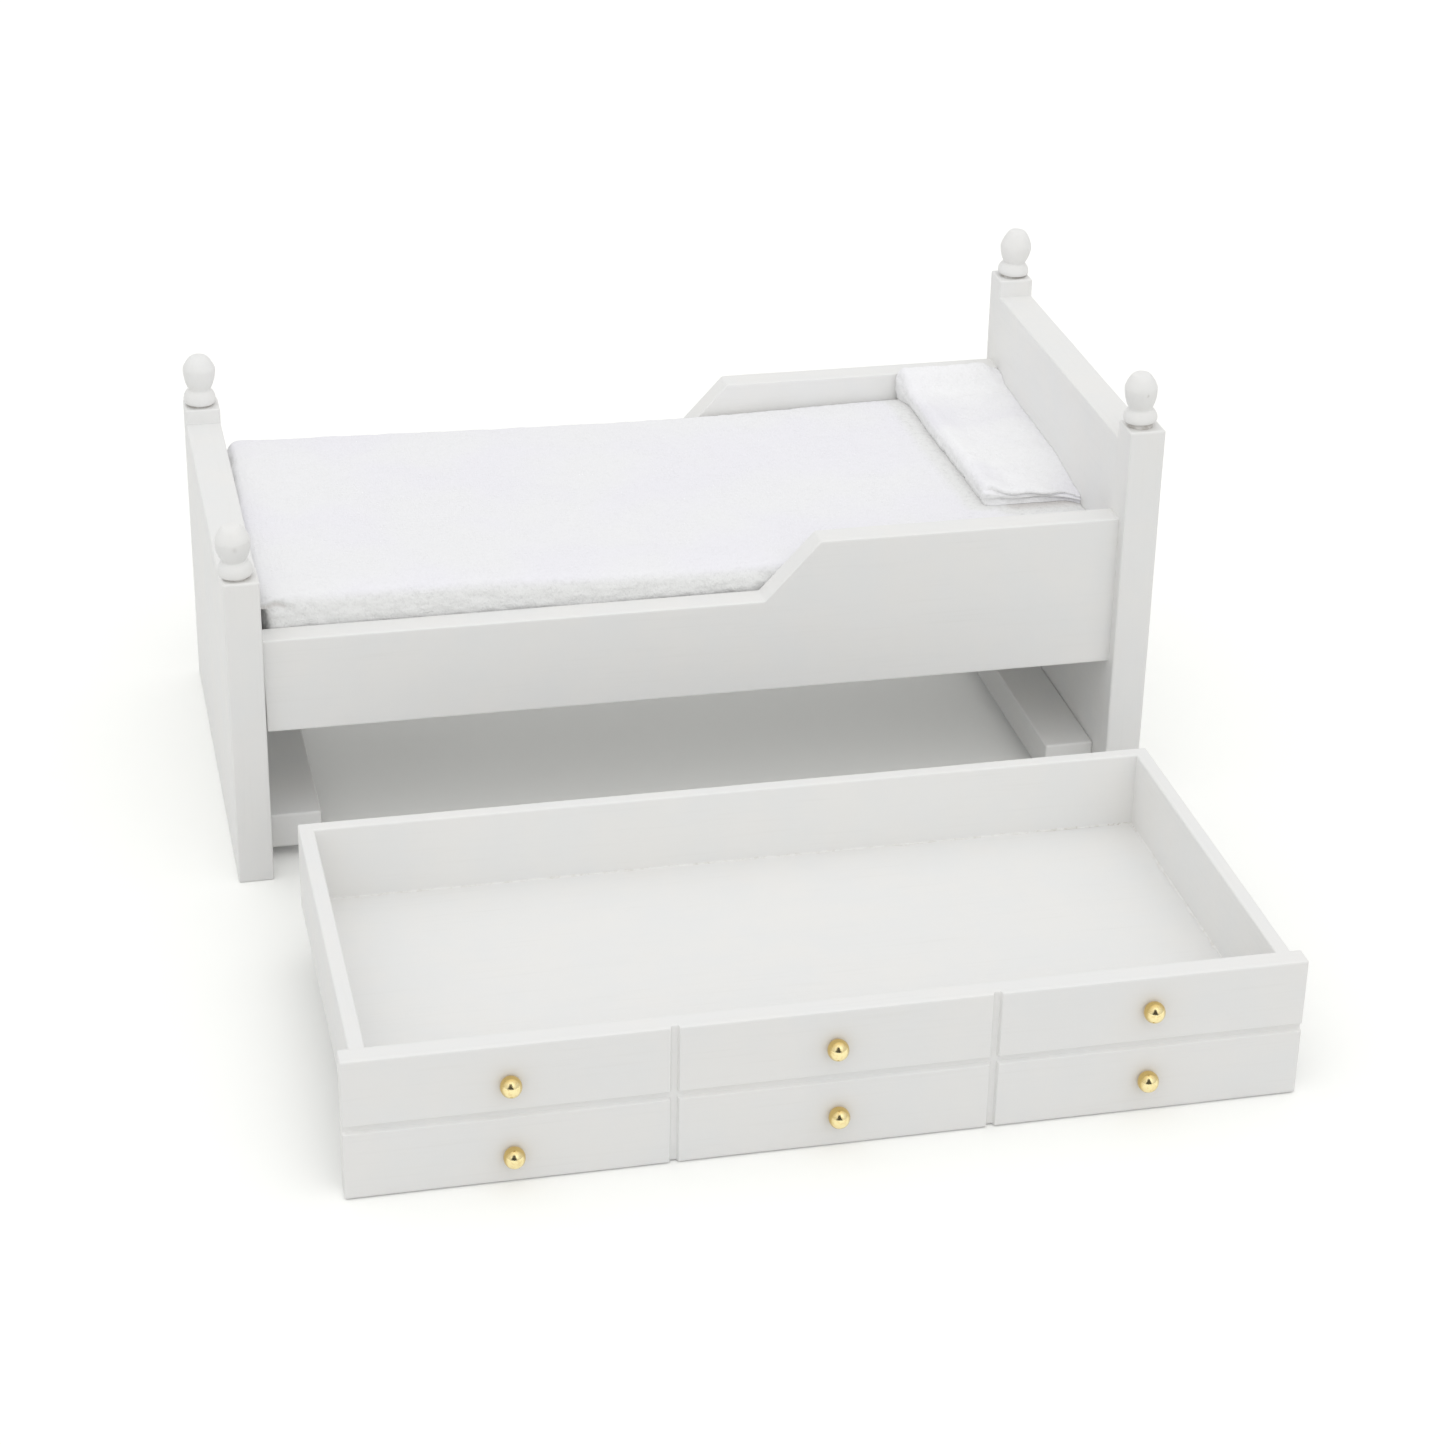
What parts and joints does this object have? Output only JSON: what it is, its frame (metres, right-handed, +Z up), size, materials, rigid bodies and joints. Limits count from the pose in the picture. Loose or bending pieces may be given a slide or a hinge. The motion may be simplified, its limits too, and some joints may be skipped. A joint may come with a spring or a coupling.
{
  "type": "trundle bed",
  "caption": "Dolls' house trundle bed: white panelled single bed on square posts with acorn finials, loose mattress, folded pillow and a pull-out drawer under it.",
  "frame": {"origin": "on the floor, under the middle of the whole object's box with the drawer pulled out", "axes": "+Z up, +X from the foot towards the head, -Y towards the front, where the drawer comes out"},
  "size_m": [0.1706, 0.1924, 0.0859],
  "materials": {
    "white_paint": "white satin paint on wood",
    "mattress_cloth": "white waffle-weave cotton",
    "pillow_cloth": "white cotton, folded",
    "brass": "polished"
  },
  "bodies": {
    "bed": {"foot_post_front": "white_paint", "foot_post_back": "white_paint", "head_post_front": "white_paint", "head_post_back": "white_paint", "foot_finial_front": "white_paint", "foot_finial_back": "white_paint", "head_finial_front": "white_paint", "head_finial_back": "white_paint", "footboard": "white_paint", "headboard": "white_paint", "side_rail_front": "white_paint", "side_rail_back": "white_paint", "cleat_front": "white_paint", "cleat_back": "white_paint", "mattress_board": "white_paint", "runner_foot": "white_paint", "runner_head": "white_paint"},
    "drawer": {"drawer_front": "white_paint", "drawer_back": "white_paint", "drawer_side_foot": "white_paint", "drawer_side_head": "white_paint", "drawer_bottom": "white_paint", "knob_foot_lower": "brass", "knob_foot_upper": "brass", "knob_middle_lower": "brass", "knob_middle_upper": "brass", "knob_head_lower": "brass", "knob_head_upper": "brass"},
    "mattress": {"mattress": "mattress_cloth"},
    "pillow": {"pillow": "pillow_cloth"}
  },
  "joints": [
    {"name": "drawer_slide", "type": "slide", "parent": "bed", "child": "drawer", "axis": [0, 1, 0], "range_m": [0, 0.105]},
    {"name": "mattress_lift", "type": "slide", "parent": "bed", "child": "mattress", "axis": [0, 0, 1], "range_m": [0, 0.03]},
    {"name": "pillow_lift", "type": "slide", "parent": "mattress", "child": "pillow", "axis": [0, 0, 1], "range_m": [0, 0.02]}
  ]
}
